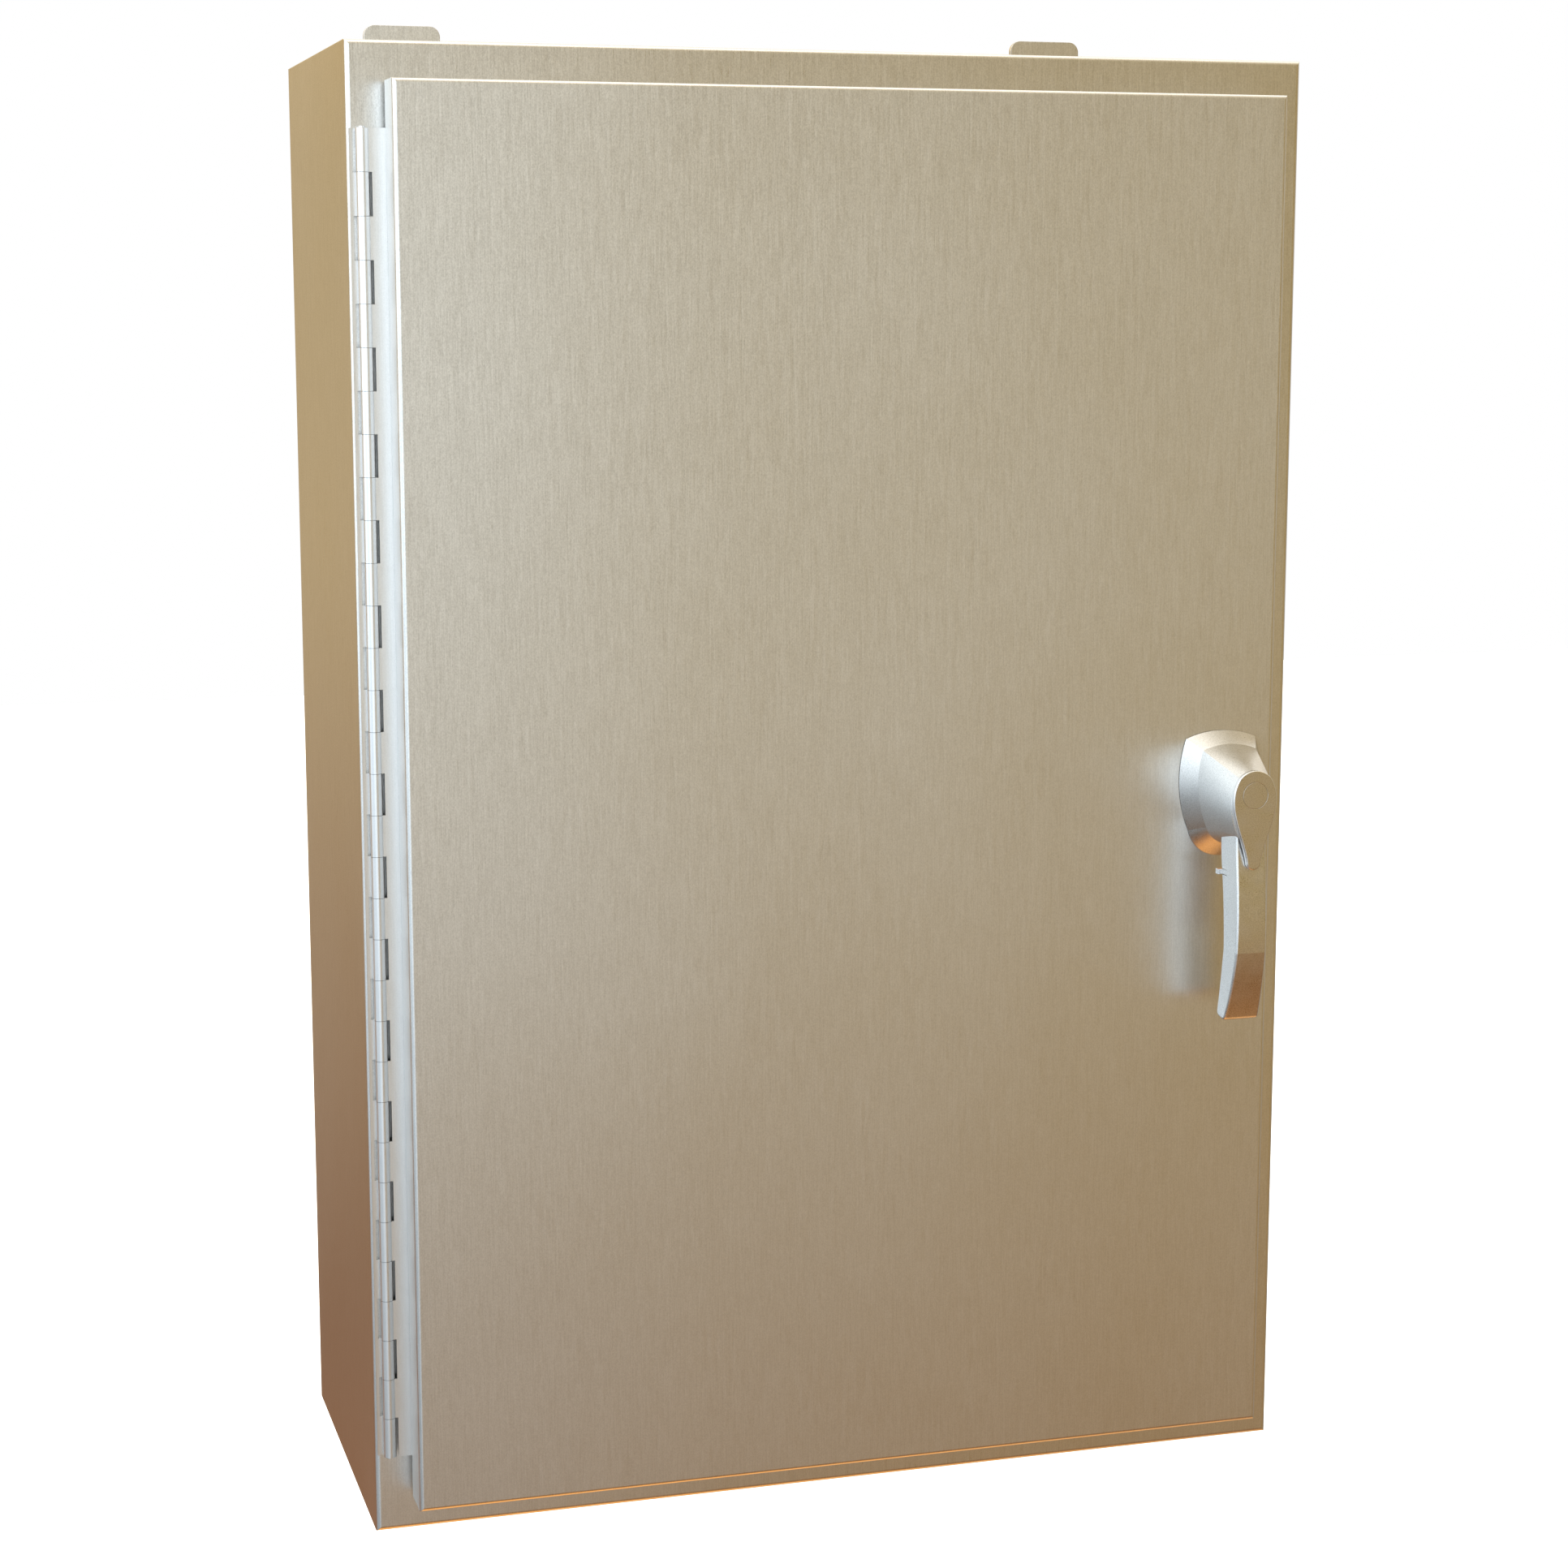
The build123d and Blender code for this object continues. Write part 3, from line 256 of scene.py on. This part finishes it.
def cast_steel(name, base, dark, roughness):
    """Satin casting: fine blasted tooth, faint mottling and rubbed edges."""
    m = Finish(name)
    tooth = m.noise(1400.0, detail=2.0, rough=0.6)
    mottle = m.noise(90.0, detail=2.0, rough=0.5)
    colour = m.mix(m.remap(tooth, 0.34, 0.66, 0.0, 1.0), dark, base)
    colour = m.mix(m.math("MULTIPLY", m.edge_wear(0.0006), 0.35), colour, RUBBED)
    # Painted shade: the colour goes to near black deep in the casting's gaps.
    m.set(Base_Color=m.mix(m.crevice_shade(CASTING_GAP), GAP_SHADE_BLACK, colour), Metallic=1.0)
    m.roughen(m.math("ADD", tooth, mottle), 0.7, 1.3, roughness, 0.04, 0.05)
    m.bump(tooth, 0.2, 0.0001, soften=0.0003)
    return m.material


def plated(name, base, dark, roughness):
    """Zinc or tin plating, copper or brass: cloudy sheen, small pits, rubbed edges."""
    m = Finish(name)
    cloud = m.noise(60.0, detail=4.0, rough=0.6)
    pits = m.noise(1440.0, detail=2.0, rough=0.6)
    colour = m.mix(m.remap(cloud, 0.3, 0.7, 0.0, 1.0), dark, base)
    light = tuple(min(1.0, c * 1.25 + 0.08) for c in base)
    colour = m.mix(m.math("MULTIPLY", m.edge_wear(0.0006), 0.6), colour, light)
    m.set(Base_Color=colour, Metallic=1.0)
    m.roughen(m.math("ADD", cloud, pits), 0.6, 1.4, roughness, 0.08, 0.1)
    m.bump(pits, 0.25, 0.00006, soften=0.0004)
    return m.material


# ---- plastics, paint, seals -------------------------------------------------
def moulded(name, base, light, roughness):
    """Moulded or pressed sheet plastic: fine tooth, faint flow marks, polished edges."""
    m = Finish(name)
    tooth = m.noise(900.0, detail=3.0, rough=0.7)
    flow = m.noise(26.0, (1.0, 1.0, 0.35), 3.0, 0.5, 0.6)
    colour = m.mix(m.remap(flow, 0.3, 0.7, 0.0, 0.5), base, light)
    colour = m.mix(m.math("MULTIPLY", m.edge_wear(0.0007), 0.35), colour, light)
    m.set(Base_Color=colour)
    m.roughen(m.math("ADD", tooth, flow), 0.6, 1.4, roughness, 0.08, 0.1)
    m.bump(tooth, 0.3, 0.00012, soften=0.0005)
    return m.material


def powder_coat(name, base, shade):
    """White powder coat with a fine orange peel and a little grime."""
    m = Finish(name)
    peel = m.noise(420.0, detail=2.0, rough=0.5)
    grime = m.noise(7.0, detail=4.0, rough=0.6)
    m.set(Base_Color=m.mix(m.remap(grime, 0.45, 0.8, 0.0, 0.6), base, shade))
    m.set(Roughness=m.remap(grime, 0.3, 0.7, 0.36, 0.5))
    m.bump(peel, 0.25, 0.0001, soften=0.0005)
    return m.material


def foam(name):
    """Closed-cell seal: open pores and a dull skin."""
    m = Finish(name)
    pores = m.noise(1300.0, detail=4.0, rough=0.7)
    patches = m.noise(60.0, detail=3.0, rough=0.6)
    colour = m.mix(m.remap(patches, 0.3, 0.7, 0.0, 1.0), (0.012, 0.012, 0.013), (0.035, 0.034, 0.033))
    m.set(Base_Color=colour)
    m.set(Roughness=m.remap(pores, 0.3, 0.7, 0.75, 0.95))
    m.bump(pores, 0.6, 0.0003)
    return m.material


def clear_sheet(name):
    """Clear polycarbonate with faint smears."""
    m = Finish(name)
    smear = m.noise(18.0, (1.0, 1.0, 0.3), 4.0, 0.6, 1.2)
    m.set(Base_Color=m.mix(m.remap(smear, 0.3, 0.7, 0.0, 1.0), (0.9, 0.95, 0.96), (0.82, 0.9, 0.93)))
    m.set(Transmission_Weight=0.9, IOR=1.58)
    m.set(Roughness=m.remap(smear, 0.3, 0.7, 0.03, 0.12))
    m.bump(smear, 0.05, 0.0004)
    return m.material


def wound_tube(name):
    """Filament-wound fuse tube: fine diagonal winding under a satin varnish."""
    m = Finish(name)
    wave = m.node("ShaderNodeTexWave", wave_type="BANDS", bands_direction="DIAGONAL")
    wave.inputs["Scale"].default_value = 210.0
    wave.inputs["Distortion"].default_value = 1.5
    wave.inputs["Detail"].default_value = 2.0
    m.plug(m.coords, wave.inputs["Vector"])
    winding = wave.outputs["Fac"]
    mottle = m.noise(90.0, detail=4.0, rough=0.6)
    colour = m.mix(winding, (0.36, 0.3, 0.19), (0.47, 0.41, 0.28))
    colour = m.mix(m.remap(mottle, 0.4, 0.75, 0.0, 0.4), colour, (0.24, 0.17, 0.09))
    m.set(Base_Color=colour)
    m.set(Roughness=m.remap(mottle, 0.3, 0.7, 0.35, 0.5))
    m.bump(winding, 0.3, 0.0001)
    return m.material


# ---- who wears what ---------------------------------------------------------
def paint(material, *names):
    """Gives the named CAD nodes the material."""
    for name in names:
        slots = nodes[name].data.materials
        slots.clear()
        slots.append(material)


def paint_all():
    sheet = (0.865, 0.855, 0.835)
    sheet_dark = (0.63, 0.62, 0.60)
    body = brushed_steel("steel_body", sheet, sheet_dark, 0.30, 0.4)
    door = brushed_steel("steel_door", sheet, sheet_dark, 0.32, 0.6)
    strip = (0.86, 0.85, 0.84)
    strip_dark = (0.72, 0.71, 0.70)
    # the hinge's gaps get a paler painted shade, as they look lighter in the photograph than gaps do
    # elsewhere
    pale_gap_shade = (0.22, 0.22, 0.22)
    bright = brushed_steel("steel_hinge", strip, strip_dark, 0.33, 0.4, 0.6, pale_gap_shade, 0.0)
    dull = brushed_steel("steel_inside", (0.66, 0.64, 0.6), (0.5, 0.48, 0.45), 0.42, 0.6)
    cast = cast_steel("cast_handle", (0.82, 0.815, 0.81), (0.64, 0.635, 0.625), 0.31)
    zinc = plated("zinc_plate", (0.78, 0.78, 0.74), (0.58, 0.6, 0.58), 0.32)
    copper = plated("copper", (0.78, 0.42, 0.26), (0.6, 0.28, 0.16), 0.34)
    tin = plated("tin_plate", (0.82, 0.82, 0.83), (0.66, 0.67, 0.69), 0.36)
    brass = plated("brass_plate", (0.82, 0.66, 0.36), (0.66, 0.5, 0.24), 0.3)
    black = moulded("black_moulding", (0.018, 0.018, 0.02), (0.05, 0.05, 0.053), 0.45)
    fibre = moulded("red_fibre", (0.2, 0.045, 0.025), (0.3, 0.09, 0.05), 0.6)
    grey = moulded("grey_pocket", (0.24, 0.25, 0.26), (0.34, 0.35, 0.36), 0.5)
    nylon = moulded("nylon", (0.66, 0.63, 0.55), (0.78, 0.76, 0.7), 0.4)
    paint(body, "enclosure_body", "mounting_feet")
    paint(door, "door_panel")
    paint(bright, "hinge_body_leaf", "hinge_door_leaf", "hinge_pin")
    paint(dull, "door_stiffener_left", "door_stiffener_right")
    paint(cast, "handle_casting", "handle_lever", "handle_plug", "lock_tab")
    paint(zinc, "handle_screw", "handle_shaft", "door_bushing", "bushing_nut", "latch_cam", "cam_clips")
    paint(zinc, "shaft_socket", "latch_rod_upper", "latch_rod_lower", "roller_axle_upper")
    paint(zinc, "roller_axle_lower", "rod_guide_upper", "rod_guide_lower", "panel_studs", "panel_nuts")
    paint(zinc, "rotor_pivots", "switch_shaft", "shaft_crank", "mechanism_frame", "lug_screws", "yoke_bar")
    paint(powder_coat("white_panel", (0.8, 0.8, 0.78), (0.6, 0.58, 0.54)), "back_panel")
    paint(foam("seal_foam"), "door_gasket", "handle_seal")
    paint(grey, "data_pocket")
    paint(nylon, "latch_roller_upper", "latch_roller_lower")
    paint(black, "switch_base", "rotor_a", "rotor_b", "rotor_c")
    paint(fibre, "phase_barriers")
    paint(clear_sheet("clear_shield"), "line_shield")
    paint(copper, "line_contacts", "fuse_clips_line", "fuse_clips_load", "ground_bar")
    paint(copper, "blade_a", "blade_b", "blade_c")
    paint(tin, "line_lugs", "load_lugs")
    paint(wound_tube("fuse_tube"), "fuse_body_a", "fuse_body_b", "fuse_body_c")
    paint(brass, "fuse_ends_a", "fuse_ends_b", "fuse_ends_c")


# ---- stage and light --------------------------------------------------------
# What the metal mirrors. This is no neutral studio: the colours were picked after working out
# which way each visible spot mirrors and which colour the photograph has there. Each list
# holds colours from straight down (0) to straight up (1).
FLOOR_GLOW = (1.9, 0.85, 0.22)
SKYLIGHT = (1.9, 1.8, 1.6)
WINDOW = [
    (0.0, FLOOR_GLOW),
    (0.07, (0.70, 0.27, 0.06)),
    (0.15, (0.36, 0.22, 0.13)),
    (0.25, (0.38, 0.38, 0.37)),
    (0.33, (0.55, 0.62, 0.68)),
    (0.37, (0.88, 1.02, 1.14)),
    (0.42, (1.75, 2.05, 2.30)),
    (0.52, (2.05, 2.34, 2.56)),
    (0.75, (1.80, 1.95, 2.00)),
    (1.0, SKYLIGHT),
]
FRONT_ROOM = [
    (0.0, FLOOR_GLOW),
    (0.07, (0.46, 0.24, 0.10)),
    (0.14, (0.27, 0.11, 0.03)),
    (0.23, (0.31, 0.155, 0.06)),
    (0.33, (0.37, 0.225, 0.09)),
    (0.42, (0.47, 0.34, 0.145)),
    (0.50, (0.42, 0.30, 0.11)),
    (0.70, (0.46, 0.33, 0.14)),
    (0.88, (0.52, 0.40, 0.21)),
    (0.95, (1.32, 1.17, 0.90)),
    (1.0, SKYLIGHT),
]
REAR_ROOM = [
    (0.0, FLOOR_GLOW),
    (0.10, (0.55, 0.24, 0.08)),
    (0.24, (0.34, 0.11, 0.02)),
    (0.34, (0.23, 0.09, 0.025)),
    (0.40, (0.37, 0.22, 0.10)),
    (0.46, (0.55, 0.39, 0.18)),
    (0.53, (0.50, 0.35, 0.14)),
    (0.62, (1.10, 0.72, 0.26)),
    (0.80, (1.25, 1.00, 0.62)),
    (1.0, SKYLIGHT),
]
BACK_WALL = [
    (0.0, FLOOR_GLOW),
    (0.10, (0.50, 0.33, 0.20)),
    (0.25, (0.30, 0.25, 0.21)),
    (0.38, (0.40, 0.37, 0.33)),
    (0.50, (0.60, 0.56, 0.50)),
    (0.62, (0.95, 0.84, 0.66)),
    (0.80, (1.15, 1.06, 0.90)),
    (1.0, SKYLIGHT),
]
CURTAIN = (0.0, 0.0, 0.0)
CURTAIN_DEPTH = 0.42
SKY_PATCH = (1.5, 1.25, 0.85)
FLOOR_REACH = 6.0
FLOOR_DROP = 0.25


def make_floor():
    """A pale floor below the wall unit, which the metal neither mirrors nor is lit by."""
    mesh = bpy.data.meshes.new("floor")
    far = FLOOR_REACH
    z = cad_box[0][2] - FLOOR_DROP
    corners = [(-far, -far, z), (far, -far, z), (far, far, z), (-far, far, z)]
    mesh.from_pydata(corners, [], [(0, 1, 2, 3)])
    floor = bpy.data.objects.new("floor", mesh)
    bpy.context.scene.collection.objects.link(floor)
    m = Finish("floor_paint")
    mottle = m.noise(6.0, detail=4.0)
    shade = m.mix(m.remap(mottle, 0.3, 0.7, 0.0, 1.0), (0.86, 0.86, 0.86), (0.9, 0.9, 0.9))
    m.set(Base_Color=shade, Roughness=0.9)
    m.set(Emission_Color=(1.0, 1.0, 1.0, 1.0), Emission_Strength=0.75)
    mesh.materials.append(m.material)
    floor.visible_glossy = False
    floor.visible_diffuse = False


def make_world():
    """Plain white to the camera. To the metal: a tall cool window with a dim curtain to the left, a
    tan room in front, a golden one behind to the left and a plain wall behind to the right, orange
    from below, white from above and a bright patch up to the right in front."""
    world = bpy.data.worlds.new("studio")
    bpy.context.scene.world = world
    world.use_nodes = True
    world.node_tree.nodes.clear()
    w = Nodes(world.node_tree)
    direction = w.node("ShaderNodeTexCoord").outputs["Generated"]
    across = w.axis(direction, "X")
    along = w.axis(direction, "Y")
    height = w.remap(w.axis(direction, "Z"), -1.0, 1.0, 0.0, 1.0)
    behind = w.fade(along, -0.25, 0.25)
    rightward = w.fade(across, -0.16, 0.06)
    rear = w.mix(rightward, w.ramp(height, REAR_ROOM), w.ramp(height, BACK_WALL))
    room = w.mix(behind, w.ramp(height, FRONT_ROOM), rear)
    leftward = w.fade(across, 0.22, -0.26)
    ahead = w.fade(along, 0.42, 0.08)
    drawn = w.fade(across, -0.30, -0.60, CURTAIN_DEPTH)
    curtain = w.math("MULTIPLY", drawn, w.remap(height, 0.60, 0.50, 0.0, 1.0))
    window = w.mix(curtain, w.ramp(height, WINDOW), CURTAIN)
    lit = w.mix(w.math("MULTIPLY", leftward, ahead), room, window)
    patch = w.math("MULTIPLY", w.fade(across, 0.45, 0.70), w.fade(height, 0.70, 0.84))
    lit = w.mix(w.math("MULTIPLY", patch, w.math("SUBTRACT", 1.0, behind)), lit, SKY_PATCH)
    shown = w.node("ShaderNodeBackground")
    w.plug(lit, shown.inputs["Color"])
    plain = w.node("ShaderNodeBackground")
    plain.inputs["Color"].default_value = (1.0, 1.0, 1.0, 1.0)
    path = w.node("ShaderNodeLightPath")
    mix = w.node("ShaderNodeMixShader")
    w.plug(path.outputs["Is Camera Ray"], mix.inputs["Fac"])
    w.plug(shown.outputs["Background"], mix.inputs[1])
    w.plug(plain.outputs["Background"], mix.inputs[2])
    output = w.node("ShaderNodeOutputWorld")
    w.plug(mix.outputs["Shader"], output.inputs["Surface"])


def area_light(name, place, aim, size, power, colour):
    """A soft rectangular light at a place, turned to its aim. Power is in watts."""
    data = bpy.data.lights.new(name, "AREA")
    data.shape = "RECTANGLE"
    data.size, data.size_y = size
    data.energy = power
    data.color = colour
    light = bpy.data.objects.new(name, data)
    bpy.context.scene.collection.objects.link(light)
    light.location = place
    light.rotation_euler = (Vector(aim) - Vector(place)).to_track_quat("-Z", "Y").to_euler()


def make_lights():
    area_light("left_soft", (-3.2, -0.4, 0.9), (0, -0.2, 0), (1.6, 2.6), 10.0, (0.86, 0.93, 1.0))
    area_light("top_soft", (-0.4, -0.8, 3.0), (0, -0.2, 0), (2.2, 1.6), 5.0, (1.0, 0.97, 0.92))


make_camera()
make_world()
make_lights()
make_floor()
paint_all()
bpy.context.scene.view_settings.view_transform = "Standard"
